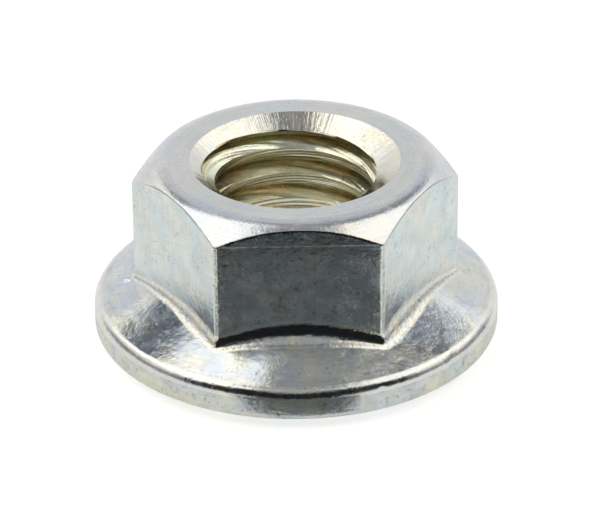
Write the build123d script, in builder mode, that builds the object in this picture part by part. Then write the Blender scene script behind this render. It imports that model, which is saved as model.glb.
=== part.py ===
from build123d import *
import math
import os

os.makedirs("parts", exist_ok=True)

# Serrated hexagon flange nut, M10 coarse, forged in one piece.
# Millimetres. +Z up, bearing plane of the serrations at Z = 0, bore on the Z axis,
# two hexagon corners on the X axis, so that one flat faces -Y.

# hexagon
across_flats = 15.0
nut_height = 9.96  # from the tips of the serrations to the top face
corner_radius = 0.3  # rounding of the six upright edges

# turned top of the hexagon
top_face_diameter = 14.4  # where the chamfer cone would meet the top face
chamfer_angle = 40.0  # slope of the chamfer cone, from the top face
top_edge_radius = 1.4  # rounding between top face and chamfer

# flange
flange_diameter = 21.6
rim_thickness = 1.63  # upright edge of the flange, both roundings included
rim_top_radius = 0.7  # rounding of the rim's upper edge
rim_bottom_radius = 0.35  # rounding of the rim's lower edge
flange_rise = 1.58  # from the rim's top edge up to the middle of a flat
root_fillet = 0.4  # where the hexagon grows out of the flange

# bore, at the minor diameter of the thread
bore_diameter = 8.5
countersink_diameter = 11.1  # both ends
countersink_angle = 110.0

# radial locking serrations under the flange
tooth_count = 30
tooth_height = 0.35  # at the outer end
tooth_step = 0.05  # plain step between the tooth roots and the rim's underside
tooth_land = 0.3  # flat tip, measured at the outer end
serration_outer_diameter = 19.6
serration_inner_diameter = 13.4
end_slope_width = 0.25  # each tooth slopes away at both ends
relief_depth = 0.55  # plain ring between serrations and bore, above the bearing plane

# places that follow from the sizes above
rim_bottom = tooth_height + tooth_step
rim_top = rim_bottom + rim_thickness
flat_distance = across_flats / 2
corner_distance = across_flats / 2 / math.cos(math.radians(30))
flange_top = rim_top + flange_rise
flange_edge = flange_diameter / 2
outer_tooth_end = serration_outer_diameter / 2
inner_tooth_end = serration_inner_diameter / 2
countersink_depth = (countersink_diameter - bore_diameter) / 2 / math.tan(math.radians(countersink_angle / 2))
cone_drop = (corner_distance + 1 - top_face_diameter / 2) * math.tan(math.radians(chamfer_angle))


# one gap between two teeth: a slanting pyramid whose tip lies on the nut's axis, so that
# both the upright locking face and the ramp run straight to the centre. The ramp leads
# when the nut is tightened, the upright face when it works loose.
def gap_profile(distance):
    share = distance / outer_tooth_end
    gap_width = (2 * math.pi * outer_tooth_end / tooth_count - tooth_land) * share
    height = tooth_height * share
    overrun = 0.5
    return [
        (0, height),
        (0, -overrun * height),
        (gap_width * (1 + overrun), -overrun * height),
    ]


with BuildPart() as tooth_gap:
    with BuildSketch(Plane.YZ.offset(inner_tooth_end - end_slope_width - 0.3)) as inner_end:
        Polygon(*gap_profile(inner_tooth_end - end_slope_width - 0.3), align=None)
    with BuildSketch(Plane.YZ.offset(outer_tooth_end + end_slope_width + 0.1)) as outer_end:
        Polygon(*gap_profile(outer_tooth_end + end_slope_width + 0.1), align=None)
    loft(ruled=True)

with BuildPart() as flange_nut:
    # hexagonal head with softened upright edges
    with BuildSketch(Plane.XY.offset(rim_bottom)) as hexagon:
        RegularPolygon(radius=flat_distance, side_count=6, major_radius=False)
    extrude(amount=nut_height - rim_bottom)
    fillet(flange_nut.edges().filter_by(Axis.Z), radius=corner_radius)

    # the top is turned to a cone, which leaves a curved chamfer on each corner
    with BuildSketch(Plane.YZ) as turned_top:
        Polygon(
            (0, rim_bottom),
            (corner_distance + 1, rim_bottom),
            (corner_distance + 1, nut_height - cone_drop),
            (top_face_diameter / 2, nut_height),
            (0, nut_height),
            align=None,
        )
        fillet(
            turned_top.vertices().filter_by(lambda v: abs(v.X - top_face_diameter / 2) < 1e-4),
            radius=top_edge_radius,
        )
    revolve(axis=Axis.Z, mode=Mode.INTERSECT)

    # flange: upright rim and a straight slope that runs in under the hexagon
    with BuildSketch(Plane.YZ) as flange_section:
        Polygon(
            (0, rim_bottom),
            (flange_edge, rim_bottom),
            (flange_edge, rim_top),
            (flat_distance, flange_top),
            (0, flange_top),
            align=None,
        )
        for height, radius in ((rim_bottom, rim_bottom_radius), (rim_top, rim_top_radius)):
            rim_corner = flange_section.vertices().sort_by_distance((flange_edge, height))[0]
            fillet(rim_corner, radius=radius)
    revolve(axis=Axis.Z)
    root_edges = flange_nut.edges().filter_by(
        lambda e: rim_top < e.center().Z < flange_top + 0.1
        and abs(e.tangent_at(0.5).Z) < 0.7
        and math.hypot(e.center().X, e.center().Y) < corner_distance
    )
    fillet(root_edges, radius=root_fillet)

    # ring that carries the serrations, sloping off at both ends
    with BuildSketch(Plane.YZ) as tooth_ring:
        Polygon(
            (inner_tooth_end, 0),
            (outer_tooth_end, 0),
            (outer_tooth_end + end_slope_width, rim_bottom),
            (inner_tooth_end - end_slope_width, rim_bottom),
            align=None,
        )
    revolve(axis=Axis.Z)

    # recessed plain ring inside the serrations
    with BuildSketch(Plane.YZ) as relief:
        Polygon(
            (0, -1),
            (inner_tooth_end - end_slope_width, -1),
            (inner_tooth_end - end_slope_width, rim_bottom),
            (inner_tooth_end - end_slope_width - (relief_depth - rim_bottom), relief_depth),
            (0, relief_depth),
            align=None,
        )
    revolve(axis=Axis.Z, mode=Mode.SUBTRACT)

    # bore with a countersink at each end
    with BuildSketch(Plane.YZ) as bore:
        Polygon(
            (0, relief_depth),
            (countersink_diameter / 2, relief_depth),
            (bore_diameter / 2, relief_depth + countersink_depth),
            (bore_diameter / 2, nut_height - countersink_depth),
            (countersink_diameter / 2, nut_height),
            (0, nut_height),
            align=None,
        )
    revolve(axis=Axis.Z, mode=Mode.SUBTRACT)

    # radial serrations
    with PolarLocations(radius=0, count=tooth_count):
        add(tooth_gap.part, mode=Mode.SUBTRACT)

flange_nut.part.label = "flange_nut"
export_step(flange_nut.part, "parts/flange_nut.step")
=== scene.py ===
"""A serrated flange nut, M10 x 1.5, bright zinc plated, on a pale studio floor.

Shapes are worked out in millimetres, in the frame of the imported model, and written to the
meshes in metres. The nut stands on its serrated face, with two corners of the hexagon on X.
"""
import math

import bmesh
import bpy
import numpy as np
from mathutils import Matrix, Vector


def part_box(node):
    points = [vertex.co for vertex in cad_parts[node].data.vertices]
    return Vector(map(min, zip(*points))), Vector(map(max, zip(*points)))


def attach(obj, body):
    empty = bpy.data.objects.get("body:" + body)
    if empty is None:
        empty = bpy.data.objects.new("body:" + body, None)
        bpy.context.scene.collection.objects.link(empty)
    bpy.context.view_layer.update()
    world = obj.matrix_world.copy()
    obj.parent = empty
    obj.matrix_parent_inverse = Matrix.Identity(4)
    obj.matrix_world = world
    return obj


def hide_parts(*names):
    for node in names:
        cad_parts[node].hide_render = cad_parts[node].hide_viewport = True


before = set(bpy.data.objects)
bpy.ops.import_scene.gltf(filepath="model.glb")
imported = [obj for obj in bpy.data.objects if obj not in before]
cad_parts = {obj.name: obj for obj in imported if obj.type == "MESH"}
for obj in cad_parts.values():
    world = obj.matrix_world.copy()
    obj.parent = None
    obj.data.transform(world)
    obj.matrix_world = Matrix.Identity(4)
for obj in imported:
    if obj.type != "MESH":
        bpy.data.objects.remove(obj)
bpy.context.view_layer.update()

MILLIMETRE = 0.001
FULL_TURN = 2.0 * math.pi
NUT_BODY = "root"
NUT_NODE = "flange_nut"

# ---------------------------------------------------------------------------------------
# Sizes of the nut, in millimetres
# ---------------------------------------------------------------------------------------

_, node_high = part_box(NUT_NODE)
NUT_HEIGHT = node_high.z / MILLIMETRE
FLANGE_RADIUS = node_high.x / MILLIMETRE
FLAT_DISTANCE = 7.5
CORNER_RADIUS = 0.3
CORNER_COUNT = 6
SECTOR = FULL_TURN / CORNER_COUNT
FRONT_FLAT_ANGLE = math.radians(270.0)

TOP_FACE_RADIUS = 7.2
TOP_EDGE_RADIUS = 1.4
CHAMFER_ANGLE = math.radians(40.0)
TOP_EDGE_START = TOP_FACE_RADIUS - TOP_EDGE_RADIUS * math.tan(CHAMFER_ANGLE / 2)
TOP_EDGE_END = TOP_EDGE_START + TOP_EDGE_RADIUS * math.sin(CHAMFER_ANGLE)
# how far the flats' upper edge is rounded off
FLAT_EDGE_SOFTNESS = 0.035

RIM_BOTTOM = 0.4
RIM_TOP = 2.03
RIM_TOP_RADIUS = 0.7
RIM_BOTTOM_RADIUS = 0.35
FLANGE_TOP = 3.61
FLANGE_SLOPE = (FLANGE_TOP - RIM_TOP) / (FLANGE_RADIUS - FLAT_DISTANCE)
# radius of the hollow round the hexagon's foot, at angles in degrees
ROOT_FILLET_ANGLES = [0.0, 30.0, 60.0, 90.0, 120.0, 150.0, 180.0, 210.0, 225.0, 240.0, 256.0,
                      270.0, 284.0, 300.0, 306.0, 316.0, 330.0, 360.0]
ROOT_FILLET_RADII = [0.4, 0.5, 0.35, 0.5, 0.35, 0.5, 0.4, 0.6, 0.95, 0.85, 1.2,
                     1.35, 1.2, 0.85, 1.25, 1.15, 0.75, 0.4]

COUNTERSINK_RADIUS = 5.55
COUNTERSINK_SLOPE = math.tan(math.radians(35.0))
BORE_RADIUS = 4.25
THREAD_MAJOR_RADIUS = 5.02
THREAD_PITCH = 1.5
THREAD_START_TURN = 0.055
THREAD_DEPTH = THREAD_MAJOR_RADIUS - BORE_RADIUS
THREAD_FLANK_ANGLE = math.radians(30.0)
# widths of the thread's root, flank and crest, as shares of one pitch
THREAD_ROOT = 1.0 / 8.0
THREAD_FLANK = THREAD_DEPTH * math.tan(THREAD_FLANK_ANGLE) / THREAD_PITCH
THREAD_CREST = 1.0 - THREAD_ROOT - 2.0 * THREAD_FLANK
# share of the thread's depth past which the groove is painted darker and browner, as painted shade
ROOT_SHADE_DEPTH = 0.5

TOOTH_COUNT = 30
TOOTH_HEIGHT = 0.35
TOOTH_LAND_WIDTH = 0.3
TEETH_OUTER_RADIUS = 9.8
TEETH_INNER_RADIUS = 6.7
TEETH_END_SLOPE = 0.25
RELIEF_DEPTH = 0.55
# lean of a tooth's locking face, as a share of the step from tooth to tooth
LOCKING_LEAN = 0.006

# how far the painted highlight of a corner edge, a brighter zinc, reaches to each side of it
CORNER_HIGHLIGHT_REACH = math.radians(0.5)
# the burr on the flange outside the -X corner: place on X, lean, width, length and height
BURR_PLACE = -9.2
BURR_LEAN = 0.5
BURR_WIDTH = 0.10
BURR_LENGTH = 0.45
BURR_HEIGHT = 0.12
# place along the flat, height, width and depth of each nick
FRONT_NICKS = [
    (0.82, 6.1, 0.09, 0.03),
    (-2.94, 5.0, 0.11, 0.03),
    (-0.66, 5.0, 0.08, 0.025),
    (-3.76, 7.9, 0.10, 0.03),
]
# angle in degrees, radius, height, width, depth and lift of the nick and the blob on the rim
RIM_MARKS = [
    (-67.2, 10.8, 1.7, 0.16, 0.05, 0.0),
    (-42.5, 10.45, 2.1, 0.30, 0.0, 0.07),
]

# ---------------------------------------------------------------------------------------
# Fineness of the meshes
# ---------------------------------------------------------------------------------------

OUTSIDE_COLUMNS = 540
CORNER_SAMPLES = 9
CORNER_SAMPLE_REACH = math.radians(1.3)
# even columns keep this many times the reach away from a corner
CORNER_CLEARANCE = 1.1

TOP_FACE_ROWS = 8
TOP_EDGE_ROWS = 19
FLAT_ROWS = 46
# above 1, the rows of the flats crowd towards the top
FLAT_ROW_CROWDING = 1.25
ROOT_ROWS = 10
FLANGE_ROWS = 26
RIM_EDGE_ROWS = 10
RIM_WALL_ROWS = 8
RIM_FOOT_ROWS = 7

BORE_COLUMNS = 288
ROWS_PER_THREAD_FACE = 6
RAMP_COLUMNS = 8

# faces that meet at more than this angle keep a crisp edge
OUTSIDE_CRISP_ANGLE = math.radians(38.0)
FINE_CRISP_ANGLE = math.radians(25.0)


# ---------------------------------------------------------------------------------------
# Meshes
# ---------------------------------------------------------------------------------------

def grid_piece(name, points, zones, rows_per_turn=0):
    """A closed ring of faces over points[row, column] in millimetres.

    The last column joins the first, rows_per_turn rows further on for a helix. zones names
    the finish of each row, or of each point.
    """
    zones = np.broadcast_to(np.array(zones).reshape(len(points), -1), points.shape[:2])
    rows, columns, _ = points.shape
    vertices = (points.reshape(-1, 3) * MILLIMETRE).tolist()
    faces = []
    face_zones = []
    zone_names = np.unique(zones).tolist()
    for row in range(rows - 1):
        for column in range(columns):
            last = column == columns - 1
            right = 0 if last else column + 1
            step = rows_per_turn if last else 0
            if not 0 <= row + step < rows - 1:
                continue
            faces.append((
                row * columns + column,
                (row + 1) * columns + column,
                (row + 1 + step) * columns + right,
                (row + step) * columns + right,
            ))
            face_zones.append(zone_names.index(zones[row + 1, column]))
    mesh = bpy.data.meshes.new(name)
    mesh.from_pydata(vertices, [], faces)
    for zone in zone_names:
        mesh.materials.append(finishes[zone])
    mesh.polygons.foreach_set("material_index", face_zones)
    piece = bpy.data.objects.new(name, mesh)
    bpy.context.scene.collection.objects.link(piece)
    return piece


def clean_mesh(piece, merge_distance=2e-7):
    """Merges points that fell together, and drops the faces that this closed up."""
    sheet = bmesh.new()
    sheet.from_mesh(piece.data)
    bmesh.ops.remove_doubles(sheet, verts=sheet.verts, dist=merge_distance)
    bmesh.ops.dissolve_degenerate(sheet, edges=sheet.edges, dist=merge_distance)
    loose = [point for point in sheet.verts if not point.link_faces]
    bmesh.ops.delete(sheet, geom=loose, context="VERTS")
    sheet.to_mesh(piece.data)
    sheet.free()


def shade_soft(piece, crease_angle):
    """Smooth shading that stays crisp where two faces meet at more than crease_angle."""
    piece.data.polygons.foreach_set("use_smooth", [True] * len(piece.data.polygons))
    piece.data.set_sharp_from_angle(angle=crease_angle)


def hand_over(piece):
    """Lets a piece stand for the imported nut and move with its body."""
    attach(piece, NUT_BODY)
    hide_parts(NUT_NODE)


def angle_off_corner(angle):
    """How far an angle lies from the hexagon's nearest corner."""
    return np.abs((angle + SECTOR / 2) % SECTOR - SECTOR / 2)


def outside_angles():
    """Angles round the nut: evenly spread, with more samples on the hexagon's corners."""
    even = np.arange(OUTSIDE_COLUMNS) * FULL_TURN / OUTSIDE_COLUMNS
    extra = np.linspace(-CORNER_SAMPLE_REACH, CORNER_SAMPLE_REACH, CORNER_SAMPLES)
    # the front zones end on these angles, so how they are rounded decides the corners' finish,
    # which carries a painted highlight
    corners = np.arange(CORNER_COUNT) * FULL_TURN / CORNER_COUNT
    near_corner = (corners[:, None] + extra[None, :]).ravel() % FULL_TURN
    clear = angle_off_corner(even) > CORNER_SAMPLE_REACH * CORNER_CLEARANCE
    return np.sort(np.concatenate([even[clear], near_corner]))


def wall_distance(angle):
    """Distance from the axis to the hexagon's wall, with its rounded corners."""
    off_corner = angle_off_corner(angle)
    flat = FLAT_DISTANCE / np.cos(SECTOR / 2 - off_corner)
    centre = (FLAT_DISTANCE - CORNER_RADIUS) / math.cos(SECTOR / 2)
    under_root = np.maximum(CORNER_RADIUS ** 2 - (centre * np.sin(off_corner)) ** 2, 0.0)
    rounded = centre * np.cos(off_corner) + np.sqrt(under_root)
    tangent = SECTOR / 2 - math.atan(
        (FLAT_DISTANCE - CORNER_RADIUS) * math.tan(SECTOR / 2) / FLAT_DISTANCE)
    return np.where(off_corner < tangent, rounded, flat)


def top_height(radius):
    """Height of the turned top: flat face, rounded edge and chamfer."""
    reach = np.clip(radius - TOP_EDGE_START, 0.0, TOP_EDGE_RADIUS)
    rounded = NUT_HEIGHT - TOP_EDGE_RADIUS + np.sqrt(TOP_EDGE_RADIUS ** 2 - reach ** 2)
    chamfer = NUT_HEIGHT - (radius - TOP_FACE_RADIUS) * math.tan(CHAMFER_ANGLE)
    return np.where(radius < TOP_EDGE_START, NUT_HEIGHT,
                    np.where(radius < TOP_EDGE_END, rounded, chamfer))


def flange_height(radius):
    """Height of the flange's sloping upper side."""
    return FLANGE_TOP - FLANGE_SLOPE * (radius - FLAT_DISTANCE)


def root_fillet(angle):
    """Radius of the hollow between hexagon and flange, widest under the front flat."""
    turned = np.degrees(angle) % 360.0
    return np.interp(turned, ROOT_FILLET_ANGLES, ROOT_FILLET_RADII)


def outer_profile(angles):
    """Radius and height from the countersink's edge down to the rim's underside.

    Each row is one ring of the skin, with a value at every angle.
    """
    wall = wall_distance(angles)
    radii = []
    heights = []
    zones = []

    def add(zone, radius, height):
        radii.append(np.broadcast_to(radius, wall.shape))
        heights.append(np.broadcast_to(height, wall.shape))
        zones.append(zone)

    for radius in np.linspace(COUNTERSINK_RADIUS, TOP_EDGE_START, TOP_FACE_ROWS):
        add("top_face", radius, NUT_HEIGHT)
    for share in np.linspace(0.0, 1.0, TOP_EDGE_ROWS)[1:]:
        radius = TOP_EDGE_START + (wall - FLAT_EDGE_SOFTNESS - TOP_EDGE_START) * share
        add("top_edge", radius, top_height(radius))

    slope_angle = math.atan(FLANGE_SLOPE)
    turn = math.pi / 2 - slope_angle
    fillet = root_fillet(angles)
    tangent = fillet * math.tan(turn / 2)
    wall_bottom = flange_height(wall) + tangent
    wall_top = top_height(wall) - FLAT_EDGE_SOFTNESS
    for share in np.linspace(0.0, 1.0, FLAT_ROWS) ** FLAT_ROW_CROWDING:
        add("flats", wall, wall_top + (wall_bottom - wall_top) * share)
    for angle in np.linspace(0.0, turn, ROOT_ROWS)[1:]:
        add("root", wall + fillet * (1.0 - np.cos(angle)),
            wall_bottom - fillet * np.sin(angle))

    fillet_end = wall + tangent * math.cos(slope_angle)
    rim_tangent = RIM_TOP_RADIUS * math.tan(turn / 2)
    rim_start = FLANGE_RADIUS - rim_tangent * math.cos(slope_angle)
    for share in np.linspace(0.0, 1.0, FLANGE_ROWS)[1:]:
        radius = fillet_end + (rim_start - fillet_end) * share
        add("flange", radius, flange_height(radius))
    rim_centre = RIM_TOP - rim_tangent
    for angle in np.linspace(slope_angle, math.pi / 2, RIM_EDGE_ROWS)[1:]:
        add("rim_edge", FLANGE_RADIUS - RIM_TOP_RADIUS * (1.0 - math.sin(angle)),
            rim_centre + RIM_TOP_RADIUS * math.cos(angle))
    lower_centre = RIM_BOTTOM + RIM_BOTTOM_RADIUS
    for height in np.linspace(rim_centre, lower_centre, RIM_WALL_ROWS)[1:]:
        add("rim", FLANGE_RADIUS, height)
    for angle in np.linspace(0.0, math.pi / 2, RIM_FOOT_ROWS)[1:]:
        add("rim", FLANGE_RADIUS - RIM_BOTTOM_RADIUS * (1.0 - math.cos(angle)),
            lower_centre - RIM_BOTTOM_RADIUS * math.sin(angle))
    return np.array(radii), np.array(heights), zones


def round_points(radius, angle, height):
    """Points at a distance from the axis, an angle round it and a height."""
    return np.stack([radius * np.cos(angle), radius * np.sin(angle), height], axis=-1)


def hill(distance, width):
    """A rounded rise, 1 at distance 0 and nothing past about twice the width."""
    return np.exp(-(distance / width) ** 2)


def nicks_in_front(points, row_zones):
    """How deep each point of the front flat lies in one of its small nicks."""
    angle = np.arctan2(points[..., 1], points[..., 0]) % FULL_TURN
    on_front = np.abs(angle - FRONT_FLAT_ANGLE) < SECTOR / 2
    depth = np.zeros(angle.shape)
    for place, level, width, deepest in FRONT_NICKS:
        distance = np.hypot(points[..., 0] - place, points[..., 2] - level)
        depth += np.where(on_front, deepest * hill(distance, width), 0.0)
    return depth * (np.array(row_zones) == "flats")[:, None]


def corner_burr(points, row_zones):
    """How far each point of the flange is lifted by the burr outside the -X corner."""
    along = points[..., 0] - BURR_PLACE
    across = points[..., 1] + BURR_LEAN * along
    lift = BURR_HEIGHT * hill(across, BURR_WIDTH) * hill(along, BURR_LENGTH)
    return lift * (np.array(row_zones) == "flange")[:, None]


def outside_zones(row_zones, angles):
    """The finish of each point, with the corner edges' painted highlight and the front set apart.
    """
    zones = np.repeat(np.array(row_zones, dtype="U16")[:, None], len(angles), axis=1)
    # a strip along each corner edge gets brighter, warmer zinc: a painted highlight
    near_corner = angle_off_corner(angles) < CORNER_HIGHLIGHT_REACH
    zones[(zones == "flats") & near_corner[None, :]] = "corner_edge"
    in_front = np.abs(angles - FRONT_FLAT_ANGLE) < SECTOR / 2
    for zone in ("flats", "root"):
        zones[(zones == zone) & in_front[None, :]] = f"front_{zone}"
    return zones


def build_outside():
    """Top face, chamfer, flats, flange and rim in one skin."""
    angles = outside_angles()
    radius, height, row_zones = outer_profile(angles)
    points = round_points(radius, angles[None, :], height)
    radius = radius - nicks_in_front(points, row_zones)
    for place, mark_radius, level, width, depth, lift in RIM_MARKS:
        spot = round_points(mark_radius, math.radians(place), level)
        rise = hill(np.linalg.norm(points - spot, axis=-1), width)
        radius = radius - depth * rise
        height = height + lift * rise
    height = height + corner_burr(points, row_zones)
    points = round_points(radius, angles[None, :], height)
    piece = grid_piece("nut_outside", points, outside_zones(row_zones, angles))
    clean_mesh(piece)
    shade_soft(piece, OUTSIDE_CRISP_ANGLE)
    return piece


def thread_radius(turn_share):
    """Radius of the thread at a share of one pitch: crest, flank, root and flank."""
    share = turn_share % 1.0
    rising = (share - THREAD_CREST) / THREAD_FLANK
    falling = (1.0 - share) / THREAD_FLANK
    lift = np.clip(np.minimum(rising, falling), 0.0, 1.0)
    return BORE_RADIUS + THREAD_DEPTH * lift


def thread_shares():
    """Row positions along one pitch, with a row at each corner of the thread's profile."""
    root_start = THREAD_CREST + THREAD_FLANK
    corners = [0.0, THREAD_CREST, root_start, root_start + THREAD_ROOT, 1.0]
    shares = []
    for start, end in zip(corners, corners[1:]):
        shares += np.linspace(start, end, ROWS_PER_THREAD_FACE, endpoint=False).tolist()
    return shares


def build_bore():
    """The threaded hole with a countersink at each end."""
    shares = thread_shares()
    turns = int(math.ceil(NUT_HEIGHT / THREAD_PITCH)) + 2
    rows = np.array([turn + share for turn in range(-1, turns) for share in shares])
    angles = np.arange(BORE_COLUMNS) * FULL_TURN / BORE_COLUMNS
    phase = rows[::-1, None] - np.zeros(BORE_COLUMNS)[None, :]
    height = (phase + angles[None, :] / FULL_TURN + THREAD_START_TURN - 1.0) * THREAD_PITCH
    upper = COUNTERSINK_RADIUS - (NUT_HEIGHT - height) / COUNTERSINK_SLOPE
    lower = COUNTERSINK_RADIUS - (height - RELIEF_DEPTH) / COUNTERSINK_SLOPE
    cone = np.maximum(upper, lower)
    thread = thread_radius(phase)
    radius = np.minimum(np.maximum(thread, cone), COUNTERSINK_RADIUS)
    height = np.clip(height, RELIEF_DEPTH, NUT_HEIGHT)
    points = round_points(radius, angles[None, :], height)
    # the deeper half of the groove gets darker, browner zinc: painted shade
    in_root_shade = thread > BORE_RADIUS + ROOT_SHADE_DEPTH * THREAD_DEPTH
    zones = np.where(in_root_shade, "thread_root", "thread")
    zones = np.where(cone >= thread, "countersink", zones)
    piece = grid_piece("threaded_bore", points, zones, rows_per_turn=-len(shares))
    clean_mesh(piece)
    shade_soft(piece, FINE_CRISP_ANGLE)
    return piece


def tooth_gap_height(radius, offset):
    """How far the gap beside a tooth is cut in, at an angle offset from its locking face."""
    along = radius * np.cos(offset)
    share = along / TEETH_OUTER_RADIUS
    width = FULL_TURN * TEETH_OUTER_RADIUS / TOOTH_COUNT - TOOTH_LAND_WIDTH
    fall = TEETH_OUTER_RADIUS * np.tan(offset) / width
    return np.maximum(TOOTH_HEIGHT * share * (1.0 - fall), 0.0)


def build_underside():
    """The serrated bearing face, its relief and the underside of the rim."""
    pitch = FULL_TURN / TOOTH_COUNT
    locking_lean = pitch * LOCKING_LEAN
    width = FULL_TURN * TEETH_OUTER_RADIUS / TOOTH_COUNT - TOOTH_LAND_WIDTH
    ramp_end = math.atan(width / TEETH_OUTER_RADIUS)
    ramp = np.linspace(locking_lean, ramp_end, RAMP_COLUMNS)
    offsets = np.concatenate([[0.0], ramp, [(ramp_end + pitch) / 2]])
    angles = (np.arange(TOOTH_COUNT)[:, None] * pitch + offsets[None, :]).ravel()
    offset = np.tile(offsets, TOOTH_COUNT)
    gap_open = np.tile(offsets > 0.0, TOOTH_COUNT)

    outer_foot = TEETH_OUTER_RADIUS + TEETH_END_SLOPE
    inner_foot = TEETH_INNER_RADIUS - TEETH_END_SLOPE
    floor_edge = inner_foot - (RELIEF_DEPTH - RIM_BOTTOM)
    # radius, height and rows to the next corner
    outline = [
        (FLANGE_RADIUS - RIM_BOTTOM_RADIUS, RIM_BOTTOM, 3),
        (outer_foot, RIM_BOTTOM, 8),
        (TEETH_OUTER_RADIUS, 0.0, 14),
        (TEETH_INNER_RADIUS, 0.0, 8),
        (inner_foot, RIM_BOTTOM, 2),
        (floor_edge, RELIEF_DEPTH, 4),
        (COUNTERSINK_RADIUS, RELIEF_DEPTH, 1),
    ]
    places = []
    for (start, low, count), (end, high, _) in zip(outline, outline[1:]):
        shares = np.linspace(0.0, 1.0, count, endpoint=False)
        places += [(start + (end - start) * share, low + (high - low) * share) for share in shares]
    places.append(outline[-1][:2])
    radius = np.array([place[0] for place in places])[:, None] + np.zeros(len(angles))
    height = np.array([place[1] for place in places])[:, None] + np.zeros(len(angles))
    rounding = 1e-9
    in_ring = (radius <= outer_foot + rounding) & (radius >= inner_foot - rounding)
    cut = tooth_gap_height(radius, offset[None, :]) * gap_open[None, :]
    height = np.where(in_ring, np.maximum(height, cut), height)
    points = round_points(radius, angles[None, :], height)
    piece = grid_piece("serrated_face", points, ["underside"] * len(points))
    clean_mesh(piece)
    shade_soft(piece, FINE_CRISP_ANGLE)
    return piece


# ---------------------------------------------------------------------------------------
# Finishes
# ---------------------------------------------------------------------------------------

def new_group(name, inputs, outputs):
    """An empty node group with named sockets, given as (socket type, name, default)."""
    group = bpy.data.node_groups.new(name, "ShaderNodeTree")
    for kind, label, default in inputs:
        socket = group.interface.new_socket(name=label, in_out="INPUT", socket_type=kind)
        socket.default_value = default
    for kind, label in outputs:
        group.interface.new_socket(name=label, in_out="OUTPUT", socket_type=kind)
    group.nodes.new("NodeGroupInput")
    group.nodes.new("NodeGroupOutput")
    return group


class Wiring:
    """Short calls for placing and joining the nodes of one tree."""

    def __init__(self, tree):
        self.tree = tree

    def node(self, kind, **settings):
        made = self.tree.nodes.new(kind)
        for name, value in settings.items():
            setattr(made, name, value)
        return made

    def feed(self, socket, value):
        """Joins a socket to another node's output, or sets it to a plain value."""
        if isinstance(value, bpy.types.NodeSocket):
            self.tree.links.new(value, socket)
        else:
            socket.default_value = value

    def calculate(self, operation, *values):
        made = self.node("ShaderNodeMath", operation=operation)
        for socket, value in zip(made.inputs, values):
            self.feed(socket, value)
        return made.outputs[0]

    def vector(self, operation, *values):
        made = self.node("ShaderNodeVectorMath", operation=operation)
        for socket, value in zip(made.inputs, values):
            self.feed(socket, value)
        return made.outputs["Vector"]

    def millimetres(self):
        """The place on the nut, in millimetres."""
        spot = self.node("ShaderNodeTexCoord")
        return self.scaled(spot.outputs["Object"], 1.0 / MILLIMETRE)

    def scaled(self, vector, scale):
        made = self.node("ShaderNodeVectorMath", operation="SCALE")
        self.feed(made.inputs[0], vector)
        self.feed(made.inputs["Scale"], scale)
        return made.outputs["Vector"]

    def split(self, vector):
        """The X, Y and Z of a vector."""
        parts = self.node("ShaderNodeSeparateXYZ")
        self.feed(parts.inputs[0], vector)
        return parts.outputs["X"], parts.outputs["Y"], parts.outputs["Z"]

    def noise(self, vector, detail, roughness=0.5):
        made = self.node("ShaderNodeTexNoise")
        made.inputs["Scale"].default_value = 1.0
        made.inputs["Detail"].default_value = detail
        made.inputs["Roughness"].default_value = roughness
        self.feed(made.inputs["Vector"], vector)
        return made.outputs["Fac"]

    def spread(self, value, edges, levels=(0.0, 1.0)):
        """Moves softly from the first level to the second while value passes the edges."""
        made = self.node("ShaderNodeMapRange", clamp=True, interpolation_type="SMOOTHSTEP")
        self.feed(made.inputs["Value"], value)
        made.inputs["From Min"].default_value, made.inputs["From Max"].default_value = edges
        made.inputs["To Min"].default_value, made.inputs["To Max"].default_value = levels
        return made.outputs["Result"]

    def blend(self, share, first, second):
        made = self.node("ShaderNodeMix", data_type="RGBA")
        self.feed(made.inputs["Factor"], share)
        self.feed(made.inputs[6], first)
        self.feed(made.inputs[7], second)
        return made.outputs[2]

    def group(self, group, **values):
        """Places a node group. Its socket Cloud Size is set by the argument cloud_size."""
        made = self.node("ShaderNodeGroup", node_tree=group)
        for name, value in values.items():
            self.feed(made.inputs[name.replace("_", " ").title()], value)
        return made


# noise levels between which each mark fades in or out
CLOUD_EDGES = (0.32, 0.68)
TINT_EDGES = (0.36, 0.64)
DARK_GRAIN_EDGES = (0.30, 0.46)
SPOT_EDGES = (0.52, 0.66)
PATCH_EDGES = (0.40, 0.62)
STREAK_EDGES = (0.46, 0.66)
MIDDLE_OF_NOISE = 0.5
# scale of the tints and of the speckled patches, as shares of the clouds' scale
TINT_SCALE = 0.45
PATCH_SCALE = 0.8
# keeps the tints from lying where the clouds lie
TINT_SHIFT = (7.3, 2.9, 5.1)

CREASE_HEIGHT = 8.8
CREASE_WIDTH = 0.055
CREASE_REACH = 4.1
CREASE_DULLNESS = 0.35
# how near the front flat a point has to be to lie on its pressed line
CREASE_DEPTH = 0.1


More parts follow.
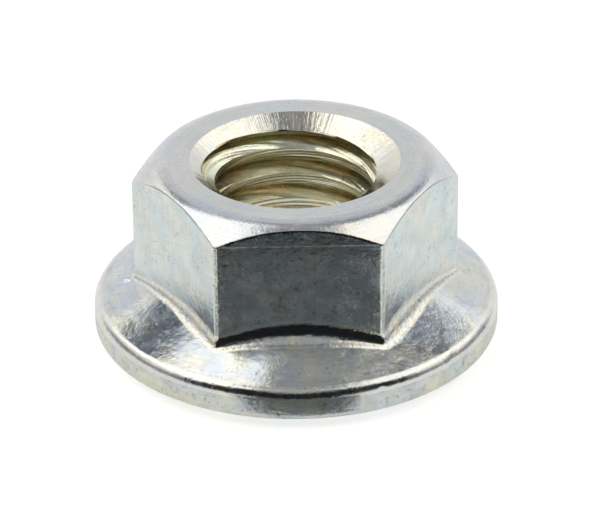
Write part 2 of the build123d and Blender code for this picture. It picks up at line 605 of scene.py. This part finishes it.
def make_zinc_mottle():
    """Cloudy tint, dull clouds and fine crystal speckle of a bright zinc plate."""
    group = new_group("zinc_mottle", [
        ("NodeSocketFloat", "Cloud Size", 1.5),
        ("NodeSocketFloat", "Speckle Size", 0.15),
        ("NodeSocketFloat", "Speckle Dark", 0.2),
        ("NodeSocketFloat", "Cloud Dark", 0.08),
        ("NodeSocketColor", "Cool Tone", (0.7, 0.74, 0.78, 1.0)),
        ("NodeSocketColor", "Warm Tone", (0.78, 0.76, 0.68, 1.0)),
    ], [
        ("NodeSocketColor", "Colour"), ("NodeSocketFloat", "Cloud"),
        ("NodeSocketFloat", "Speckle"), ("NodeSocketFloat", "Spots"),
    ])
    wiring = Wiring(group)
    entry = group.nodes["Group Input"].outputs
    per_cloud = wiring.calculate("DIVIDE", 1.0, entry["Cloud Size"])
    per_speckle = wiring.calculate("DIVIDE", 1.0, entry["Speckle Size"])
    place = wiring.millimetres()
    cloud_place = wiring.scaled(place, per_cloud)
    cloud = wiring.spread(
        wiring.noise(cloud_place, detail=5.0, roughness=0.62), CLOUD_EDGES)
    tint_place = wiring.vector("ADD", wiring.scaled(cloud_place, TINT_SCALE), TINT_SHIFT)
    tint = wiring.spread(wiring.noise(tint_place, detail=4.0, roughness=0.6), TINT_EDGES)
    patch_place = wiring.scaled(cloud_place, PATCH_SCALE)
    patch = wiring.spread(wiring.noise(patch_place, detail=2.0), PATCH_EDGES)
    grain = wiring.noise(wiring.scaled(place, per_speckle), detail=3.0, roughness=0.6)

    dark = wiring.spread(grain, DARK_GRAIN_EDGES, (1.0, 0.0))
    dark = wiring.calculate("MULTIPLY", dark, patch)
    darkening = wiring.calculate("MULTIPLY", dark, entry["Speckle Dark"])
    shade = wiring.calculate("SUBTRACT", 1.0, darkening)
    thin = wiring.calculate("SUBTRACT", 1.0, cloud)
    thin = wiring.calculate("MULTIPLY", thin, entry["Cloud Dark"])
    shade = wiring.calculate("SUBTRACT", shade, thin)
    spots = wiring.calculate("MULTIPLY", wiring.spread(grain, SPOT_EDGES), patch)
    tone = wiring.blend(tint, entry["Cool Tone"], entry["Warm Tone"])

    exits = group.nodes["Group Output"].inputs
    wiring.feed(exits["Colour"], wiring.scaled(tone, shade))
    wiring.feed(exits["Cloud"], cloud)
    wiring.feed(exits["Speckle"], grain)
    wiring.feed(exits["Spots"], spots)
    return group


def make_tool_lines(direction):
    """Fine lines left by a tool, a Line Spacing apart and about a Line Length long.

    They run round the axis, upright on the flats, or down the slope of a countersink.
    """
    group = new_group(f"{direction}_lines", [
        ("NodeSocketFloat", "Line Length", 6.0), ("NodeSocketFloat", "Line Spacing", 0.1),
    ], [("NodeSocketFloat", "Height")])
    wiring = Wiring(group)
    entry = group.nodes["Group Input"].outputs
    place = wiring.millimetres()
    level = wiring.vector("MULTIPLY", place, (1.0, 1.0, 0.0))
    along = wiring.vector("MULTIPLY", place, (0.0, 0.0, 1.0))
    across = level
    if direction == "round":
        radius = wiring.node("ShaderNodeVectorMath", operation="LENGTH")
        wiring.feed(radius.inputs[0], level)
        _, _, height = wiring.split(place)
        step = wiring.node("ShaderNodeCombineXYZ")
        outward = wiring.calculate("SUBTRACT", radius.outputs["Value"], height)
        wiring.feed(step.inputs["Z"], outward)
        along = level
        across = step.outputs["Vector"]
    if direction == "sloping":
        across = wiring.scaled(wiring.vector("NORMALIZE", level), COUNTERSINK_RADIUS)
    slow = wiring.scaled(along, wiring.calculate("DIVIDE", 1.0, entry["Line Length"]))
    fast = wiring.scaled(across, wiring.calculate("DIVIDE", 1.0, entry["Line Spacing"]))
    lines = wiring.noise(wiring.vector("ADD", slow, fast), detail=2.5, roughness=0.6)
    wiring.feed(group.nodes["Group Output"].inputs["Height"], lines)
    return group


def front_crease(wiring):
    """1 on the thin pressed line that runs across the front flat, 0 elsewhere."""
    across, depth, height = wiring.split(wiring.millimetres())
    off_line = wiring.calculate("SUBTRACT", height, CREASE_HEIGHT)
    off_line = wiring.calculate("ABSOLUTE", off_line)
    line = wiring.spread(off_line, (CREASE_WIDTH / 2.0, CREASE_WIDTH), (1.0, 0.0))
    in_front = wiring.calculate("LESS_THAN", depth, CREASE_DEPTH - FLAT_DISTANCE)
    off_middle = wiring.calculate("ABSOLUTE", across)
    inside = wiring.calculate("LESS_THAN", off_middle, CREASE_REACH)
    return wiring.calculate("MULTIPLY", line, wiring.calculate("MULTIPLY", in_front, inside))


def zinc_finish(name, cool, warm, roughness, dull_spread, cloud_size, speckle_size,
                speckle_dark, wave_depth, speckle_depth, lines, line_length, line_spacing,
                line_depth, cloud_dark=0.08, spot_dull=0.08, line_dull=0.0,
                line_dark=0.06, crease=False):
    """One zone's zinc: tints, dull clouds, speckle and the tool's own lines. Depths in mm."""
    material = bpy.data.materials.new(name)
    material.use_nodes = True
    wiring = Wiring(material.node_tree)
    shader = material.node_tree.nodes["Principled BSDF"]
    shader.inputs["Metallic"].default_value = 1.0
    mottle = wiring.group(
        zinc_mottle, cloud_size=cloud_size, speckle_size=speckle_size,
        speckle_dark=speckle_dark, cloud_dark=cloud_dark, cool_tone=(*cool, 1.0),
        warm_tone=(*warm, 1.0))
    marks = wiring.group(tool_lines[lines], line_length=line_length, line_spacing=line_spacing)
    marks_height = marks.outputs["Height"]

    streak_shade = wiring.spread(marks_height, STREAK_EDGES, (1.0, 1.0 - line_dark))
    wiring.feed(shader.inputs["Base Color"],
                wiring.scaled(mottle.outputs["Colour"], streak_shade))

    dull = wiring.calculate("MULTIPLY_ADD", mottle.outputs["Cloud"], dull_spread, roughness)
    dull = wiring.calculate("MULTIPLY_ADD", mottle.outputs["Spots"], spot_dull, dull)
    streaks = wiring.calculate("SUBTRACT", marks_height, MIDDLE_OF_NOISE)
    dull = wiring.calculate("MULTIPLY_ADD", streaks, line_dull, dull)
    if crease:
        dull = wiring.calculate("MULTIPLY_ADD", front_crease(wiring), CREASE_DULLNESS, dull)
    wiring.feed(shader.inputs["Roughness"], dull)

    height = wiring.calculate("MULTIPLY", mottle.outputs["Cloud"], wave_depth)
    height = wiring.calculate("MULTIPLY_ADD", mottle.outputs["Speckle"], speckle_depth, height)
    height = wiring.calculate("MULTIPLY_ADD", marks_height, line_depth, height)
    bump = wiring.node("ShaderNodeBump")
    bump.inputs["Strength"].default_value = 1.0
    bump.inputs["Distance"].default_value = MILLIMETRE
    wiring.feed(bump.inputs["Height"], height)
    wiring.feed(shader.inputs["Normal"], bump.outputs["Normal"])
    return material


zinc_mottle = make_zinc_mottle()
tool_lines = {direction: make_tool_lines(direction)
              for direction in ("round", "upright", "sloping")}

# what zinc_finish is given for each zone of the nut
ZINC_ZONES = {
    "top_face": dict(
        cool=(0.70, 0.735, 0.76), warm=(0.76, 0.76, 0.74), roughness=0.16, dull_spread=0.08,
        cloud_size=1.6, speckle_size=0.13, speckle_dark=0.10, wave_depth=0.006,
        speckle_depth=0.006, lines="round", line_length=5.0, line_spacing=0.10,
        line_depth=0.006),
    "top_edge": dict(
        cool=(0.68, 0.71, 0.77), warm=(0.77, 0.76, 0.74), roughness=0.15, dull_spread=0.10,
        cloud_size=1.0, speckle_size=0.12, speckle_dark=0.15, wave_depth=0.008,
        speckle_depth=0.009, lines="round", line_length=3.0, line_spacing=0.14,
        line_depth=0.006),
    "flats": dict(
        cool=(0.66, 0.745, 0.765), warm=(0.73, 0.76, 0.73), roughness=0.12, dull_spread=0.09,
        cloud_size=1.1, speckle_size=0.22, speckle_dark=0.30, wave_depth=0.007,
        speckle_depth=0.006, lines="upright", line_length=7.0, line_spacing=0.20,
        line_depth=0.002, cloud_dark=0.14, spot_dull=0.14, line_dull=0.14,
        line_dark=0.03),
    "front_flats": dict(
        cool=(0.66, 0.75, 0.775), warm=(0.74, 0.76, 0.73), roughness=0.10, dull_spread=0.09,
        cloud_size=0.9, speckle_size=0.19, speckle_dark=0.42, wave_depth=0.006,
        speckle_depth=0.008, lines="upright", line_length=7.0, line_spacing=0.20,
        line_depth=0.003, cloud_dark=0.30, spot_dull=0.24, line_dull=0.26,
        line_dark=0.06, crease=True),
    "root": dict(
        cool=(0.74, 0.76, 0.77), warm=(0.86, 0.83, 0.72), roughness=0.13, dull_spread=0.10,
        cloud_size=0.4, speckle_size=0.16, speckle_dark=0.30, wave_depth=0.014,
        speckle_depth=0.024, lines="upright", line_length=0.8, line_spacing=0.16,
        line_depth=0.006),
    "front_root": dict(
        cool=(0.70, 0.73, 0.75), warm=(0.82, 0.79, 0.69), roughness=0.09, dull_spread=0.06,
        cloud_size=0.5, speckle_size=0.15, speckle_dark=0.15, wave_depth=0.006,
        speckle_depth=0.006, lines="upright", line_length=0.8, line_spacing=0.16,
        line_depth=0.004, spot_dull=0.04),
    "flange": dict(
        cool=(0.62, 0.68, 0.765), warm=(0.76, 0.76, 0.70), roughness=0.11, dull_spread=0.08,
        cloud_size=1.0, speckle_size=0.24, speckle_dark=0.24, wave_depth=0.006,
        speckle_depth=0.004, lines="round", line_length=3.0, line_spacing=0.20,
        line_depth=0.001, cloud_dark=0.12, spot_dull=0.12),
    "rim_edge": dict(
        cool=(0.74, 0.76, 0.78), warm=(0.82, 0.81, 0.74), roughness=0.17, dull_spread=0.08,
        cloud_size=0.9, speckle_size=0.16, speckle_dark=0.20, wave_depth=0.008,
        speckle_depth=0.008, lines="round", line_length=3.0, line_spacing=0.14,
        line_depth=0.002),
    # painted highlight: the corner edges get brighter, warmer zinc than the flats, with dark
    # beaded speckle
    "corner_edge": dict(
        cool=(0.78, 0.79, 0.76), warm=(0.90, 0.88, 0.76), roughness=0.20, dull_spread=0.14,
        cloud_size=0.35, speckle_size=0.22, speckle_dark=0.75, wave_depth=0.030,
        speckle_depth=0.050, lines="upright", line_length=0.7, line_spacing=0.14,
        line_depth=0.008, cloud_dark=0.40),
    "rim": dict(
        cool=(0.67, 0.72, 0.74), warm=(0.77, 0.77, 0.64), roughness=0.24, dull_spread=0.12,
        cloud_size=0.9, speckle_size=0.24, speckle_dark=0.42, wave_depth=0.024,
        speckle_depth=0.024, lines="round", line_length=1.6, line_spacing=0.14,
        line_depth=0.012, cloud_dark=0.20),
    "countersink": dict(
        cool=(0.79, 0.79, 0.755), warm=(0.86, 0.82, 0.72), roughness=0.13, dull_spread=0.08,
        cloud_size=1.0, speckle_size=0.13, speckle_dark=0.10, wave_depth=0.010,
        speckle_depth=0.008, lines="sloping", line_length=2.0, line_spacing=0.17,
        line_depth=0.024),
    # painted light and shade in the bore: the thread's crest and inner flanks get pale, bright
    # zinc, and the deeper half of the groove dark brown zinc
    "thread": dict(
        cool=(0.90, 0.92, 0.76), warm=(0.99, 0.93, 0.74), roughness=0.15, dull_spread=0.06,
        cloud_size=0.9, speckle_size=0.14, speckle_dark=0.12, wave_depth=0.006,
        speckle_depth=0.004, lines="round", line_length=12.0, line_spacing=0.20,
        line_depth=0.070, line_dark=0.50),
    "thread_root": dict(
        cool=(0.68, 0.66, 0.44), warm=(0.78, 0.64, 0.40), roughness=0.15, dull_spread=0.06,
        cloud_size=0.9, speckle_size=0.14, speckle_dark=0.20, wave_depth=0.006,
        speckle_depth=0.004, lines="round", line_length=12.0, line_spacing=0.20,
        line_depth=0.060, line_dark=0.45),
    "underside": dict(
        cool=(0.68, 0.72, 0.75), warm=(0.77, 0.76, 0.70), roughness=0.18, dull_spread=0.12,
        cloud_size=1.1, speckle_size=0.14, speckle_dark=0.20, wave_depth=0.014,
        speckle_depth=0.010, lines="round", line_length=3.0, line_spacing=0.15,
        line_depth=0.010),
}
finishes = {zone: zinc_finish(f"zinc_{zone}", **looks) for zone, looks in ZINC_ZONES.items()}

# ---------------------------------------------------------------------------------------
# Camera, floor and light
# ---------------------------------------------------------------------------------------

IMAGE_WIDTH = 600.0
SENSOR_WIDTH = 36.0
FOCAL_PIXELS = 3544.0
# distances in millimetres, with the aim measured from the point looked at
CAMERA_DISTANCE = 188.3
CAMERA_ELEVATION = math.radians(28.55)
CAMERA_TURN = math.radians(1.22)
CAMERA_ROLL = math.radians(-0.49)
LOOK_HEIGHT = 5.42
AIM_RIGHT = 0.229
AIM_UP = -1.618
# nearest and farthest that the camera sees, in metres
CLIP_START = 0.005
CLIP_END = 20.0

# the studio's own sizes are in metres
FLOOR_HALF = 1.2
BACKDROP_RADIUS = 0.9
BACKDROP_TOP = 0.62
BACKDROP_ANGLES = np.radians(np.arange(-20.0, 201.0, 10.0))
BACK_ANGLE = math.radians(90.0)
# past this angle from the middle of the backdrop it starts above a gap
BACKDROP_SIDE = math.radians(51.0)
SIDE_GAP_HEIGHT = 0.33
SIDE_GREY_ANGLES = np.radians([-25.0, -10.0, 5.0, 20.0, 38.0])

# colour of each sheet, then how much brighter the camera and the metal see it
FLOOR_WHITE = ((0.86, 0.86, 0.86), 0.62, 0.42)
BACKDROP_WHITE = ((0.5, 0.5, 0.5), 0.8, 0.66)
SIDE_GREY = ((0.10, 0.10, 0.11), 0.0, 0.25)

# corners of the dark card in front of the nut and the stretch of Y over which it fades,
# in millimetres
DARK_CARD_OUTLINE = [(-2.4, -11.4), (-6.8, -13.8), (-6.8, -24.5), (-14.0, -28.5),
                     (-18.0, -34.0), (-350.0, -1000.0), (350.0, -1000.0), (20.0, -34.0),
                     (16.0, -26.5), (5.5, -21.5), (5.5, -13.8), (3.4, -11.4)]
DARK_CARD_HEIGHT = 0.2
DARK_CARD_FADE = (-26.5, -22.0)
DARK_CARD_TINT = (0.92, 0.97, 1.0, 1.0)
DARK_CARD_FAR_LEVEL = 0.008
DARK_CARD_NEAR_LEVEL = 0.145

FRONT_AIR = (0.012, 0.013, 0.015, 1.0)
BACK_AIR = (0.15, 0.165, 0.19, 1.0)
# where the front air gives way to the back air: -1 is straight in front, 1 straight behind
AIR_CHANGE = (-0.35, 0.45)

WARM_WHITE = (1.0, 0.975, 0.90, 1.0)
CLEAR_WHITE = (0.96, 0.98, 1.0, 1.0)
PANEL_HEIGHT = 0.5
# name, corners, radiance and colour of each lamp
LIGHT_PANELS = [
    ("softbox_left", [(-0.30, -0.60), (-0.34, -0.15), (-0.13, 0.10), (-0.13, 0.25),
                      (-0.50, 0.46), (-0.80, 0.52), (-0.86, 0.80), (-0.95, 1.40),
                      (-1.45, 1.40), (-1.40, -0.60)], 1.6, WARM_WHITE),
    ("softbox_right", [(0.25, -0.60), (0.42, -0.25), (0.22, 0.0), (0.55, 0.33), (0.70, 0.50),
                       (0.82, 0.80), (0.95, 1.40), (1.60, 1.40), (1.60, -0.60)],
     1.45, WARM_WHITE),
    ("rear_panel", [(-0.50, 0.46), (-0.60, 1.60), (0.45, 1.60), (0.45, 0.50)],
     0.70, CLEAR_WHITE),
    ("side_scrim_right", [(0.36, 0.38), (0.58, 0.50), (1.05, 1.05), (0.46, 1.10)],
     0.25, CLEAR_WHITE),
    ("overhead_scrim", [(-0.12, -0.03), (0.20, -0.03), (0.45, 0.26), (0.45, 0.44),
                        (-0.12, 0.40)], 0.36, CLEAR_WHITE),
    ("middle_scrim", [(-0.33, -0.22), (0.39, -0.22), (0.24, -0.03), (-0.235, -0.03),
                      (-0.335, -0.155)], 0.22, CLEAR_WHITE),
    ("front_scrim", [(-0.33, -0.22), (0.40, -0.22), (0.24, -1.20), (-0.30, -1.20)],
     0.42, CLEAR_WHITE),
]


def place_camera():
    """The camera in front of and above the nut, turned, rolled and aimed by the values above."""
    away = Vector((-math.sin(CAMERA_TURN) * math.cos(CAMERA_ELEVATION),
                   -math.cos(CAMERA_TURN) * math.cos(CAMERA_ELEVATION),
                   math.sin(CAMERA_ELEVATION)))
    look = Vector((0.0, 0.0, LOOK_HEIGHT))
    place = look + away * CAMERA_DISTANCE
    level_right = Vector((0.0, 0.0, 1.0)).cross(away).normalized()
    level_up = away.cross(level_right).normalized()
    right = level_right * math.cos(CAMERA_ROLL) + level_up * math.sin(CAMERA_ROLL)
    up = level_up * math.cos(CAMERA_ROLL) - level_right * math.sin(CAMERA_ROLL)
    aim = look + right * AIM_RIGHT + up * AIM_UP
    back = (place - aim).normalized()
    side = up.cross(back).normalized()
    true_up = back.cross(side).normalized()
    turn = Matrix((side, true_up, back)).transposed().to_4x4()
    data = bpy.data.cameras.new("studio_camera")
    data.sensor_width = SENSOR_WIDTH
    data.lens = FOCAL_PIXELS / IMAGE_WIDTH * SENSOR_WIDTH
    data.clip_start = CLIP_START
    data.clip_end = CLIP_END
    camera = bpy.data.objects.new("studio_camera", data)
    camera.matrix_world = Matrix.Translation(place * MILLIMETRE) @ turn
    bpy.context.scene.collection.objects.link(camera)
    bpy.context.scene.camera = camera


def new_object(name, vertices, faces, material):
    mesh = bpy.data.meshes.new(name)
    mesh.from_pydata(vertices, [], faces)
    mesh.materials.append(material)
    made = bpy.data.objects.new(name, mesh)
    bpy.context.scene.collection.objects.link(made)
    return made


def stage_sheet(name, corners, material):
    """A flat sheet for the studio, from its corners in metres."""
    sheet = new_object(name, corners, [tuple(range(len(corners)))], material)
    return sheet


def empty_material(name):
    """A material with nothing in it yet but its output, and the wiring to fill it."""
    material = bpy.data.materials.new(name)
    material.use_nodes = True
    material.node_tree.nodes.clear()
    wiring = Wiring(material.node_tree)
    output = wiring.node("ShaderNodeOutputMaterial")
    return material, wiring, output.inputs["Surface"]


def glowing_material(name, colour, strength_of):
    """A plain glow in one colour, with the strength that strength_of works out."""
    material, wiring, surface = empty_material(name)
    glow = wiring.node("ShaderNodeEmission")
    glow.inputs["Color"].default_value = colour
    wiring.feed(glow.inputs["Strength"], strength_of(wiring))
    wiring.feed(surface, glow.outputs[0])
    return material


def lifted_matt_material(name, colour, camera_lift, metal_lift):
    """A matt sheet that the camera and the metal see a little brighter than it is lit."""
    material, wiring, surface = empty_material(name)
    matt = wiring.node("ShaderNodeBsdfDiffuse")
    matt.inputs["Color"].default_value = (*colour, 1.0)
    path = wiring.node("ShaderNodeLightPath").outputs
    lift = wiring.calculate("MULTIPLY", path["Is Camera Ray"], camera_lift)
    lift = wiring.calculate("MULTIPLY_ADD", path["Is Glossy Ray"], metal_lift, lift)
    glow = wiring.node("ShaderNodeEmission")
    wiring.feed(glow.inputs["Strength"], lift)
    both = wiring.node("ShaderNodeAddShader")
    wiring.feed(both.inputs[0], matt.outputs[0])
    wiring.feed(both.inputs[1], glow.outputs[0])
    wiring.feed(surface, both.outputs[0])
    return material


def build_floor():
    material = lifted_matt_material("studio_floor_white", *FLOOR_WHITE)
    stage_sheet("studio_floor", [
        (-FLOOR_HALF, -FLOOR_HALF, 0.0), (FLOOR_HALF, -FLOOR_HALF, 0.0),
        (FLOOR_HALF, FLOOR_HALF, 0.0), (-FLOOR_HALF, FLOOR_HALF, 0.0)], material)


def build_backdrop():
    """A curved white wall behind the nut, open below at its two sides."""
    places = [(BACKDROP_RADIUS * math.cos(a), BACKDROP_RADIUS * math.sin(a))
              for a in BACKDROP_ANGLES]
    at_side = np.abs(BACKDROP_ANGLES - BACK_ANGLE) > BACKDROP_SIDE
    foot = np.where(at_side, SIDE_GAP_HEIGHT, 0.0)
    vertices = [(x, y, z) for (x, y), z in zip(places, foot)]
    vertices += [(x, y, BACKDROP_TOP) for x, y in places]
    count = len(places)
    faces = [(i, i + 1, count + i + 1, count + i) for i in range(count - 1)]
    material = lifted_matt_material("studio_backdrop_white", *BACKDROP_WHITE)
    backdrop = new_object("studio_backdrop", vertices, faces, material)
    backdrop.visible_camera = False


def build_side_sheets():
    """Grey strips that fill the gaps under the backdrop's sides."""
    material = lifted_matt_material("studio_side_grey", *SIDE_GREY)
    for side in (-1, 1):
        ends = [(side * BACKDROP_RADIUS * math.cos(a), BACKDROP_RADIUS * math.sin(a))
                for a in SIDE_GREY_ANGLES]
        for (x0, y0), (x1, y1) in zip(ends, ends[1:]):
            strip = stage_sheet("side_grey_sheet", [
                (x0, y0, 0.0), (x1, y1, 0.0), (x1, y1, SIDE_GAP_HEIGHT),
                (x0, y0, SIDE_GAP_HEIGHT)], material)
            strip.visible_camera = False


def dark_card_level(wiring):
    """The card's glow, which is stronger beside the nut than farther in front of it."""
    _, depth, _ = wiring.split(wiring.millimetres())
    return wiring.spread(depth, DARK_CARD_FADE, (DARK_CARD_FAR_LEVEL, DARK_CARD_NEAR_LEVEL))


def build_dark_card():
    """A dark card on the floor that shows only as a reflection in the metal."""
    material = glowing_material("dark_card_grey", DARK_CARD_TINT, dark_card_level)
    card = stage_sheet("dark_card", [
        (x * MILLIMETRE, y * MILLIMETRE, DARK_CARD_HEIGHT * MILLIMETRE)
        for x, y in DARK_CARD_OUTLINE], material)
    card.visible_camera = False
    card.visible_diffuse = False
    card.visible_shadow = False


def build_light_panel(name, outline, radiance, colour):
    """A soft lamp: a level glowing sheet PANEL_HEIGHT above the floor.

    outline gives its corners as seen from the nut: how far sideways and back they lie for
    each metre up.
    """
    material = glowing_material(name, colour, lambda wiring: radiance)
    panel = stage_sheet(name, [(across * PANEL_HEIGHT, back * PANEL_HEIGHT, PANEL_HEIGHT)
                               for across, back in outline], material)
    panel.visible_camera = False


def set_air():
    """Dim light all round, darker in front of the nut than behind it."""
    world = bpy.data.worlds.new("studio_air")
    world.use_nodes = True
    wiring = Wiring(world.node_tree)
    _, depth, _ = wiring.split(wiring.node("ShaderNodeTexCoord").outputs["Generated"])
    air = wiring.blend(wiring.spread(depth, AIR_CHANGE), FRONT_AIR, BACK_AIR)
    wiring.feed(world.node_tree.nodes["Background"].inputs["Color"], air)
    bpy.context.scene.world = world


def set_studio():
    build_floor()
    build_backdrop()
    build_side_sheets()
    build_dark_card()
    for panel in LIGHT_PANELS:
        build_light_panel(*panel)
    set_air()


# ---------------------------------------------------------------------------------------
# The nut
# ---------------------------------------------------------------------------------------

bpy.context.scene.view_settings.view_transform = "Standard"
place_camera()
set_studio()

for build in (build_outside, build_bore, build_underside):
    hand_over(build())
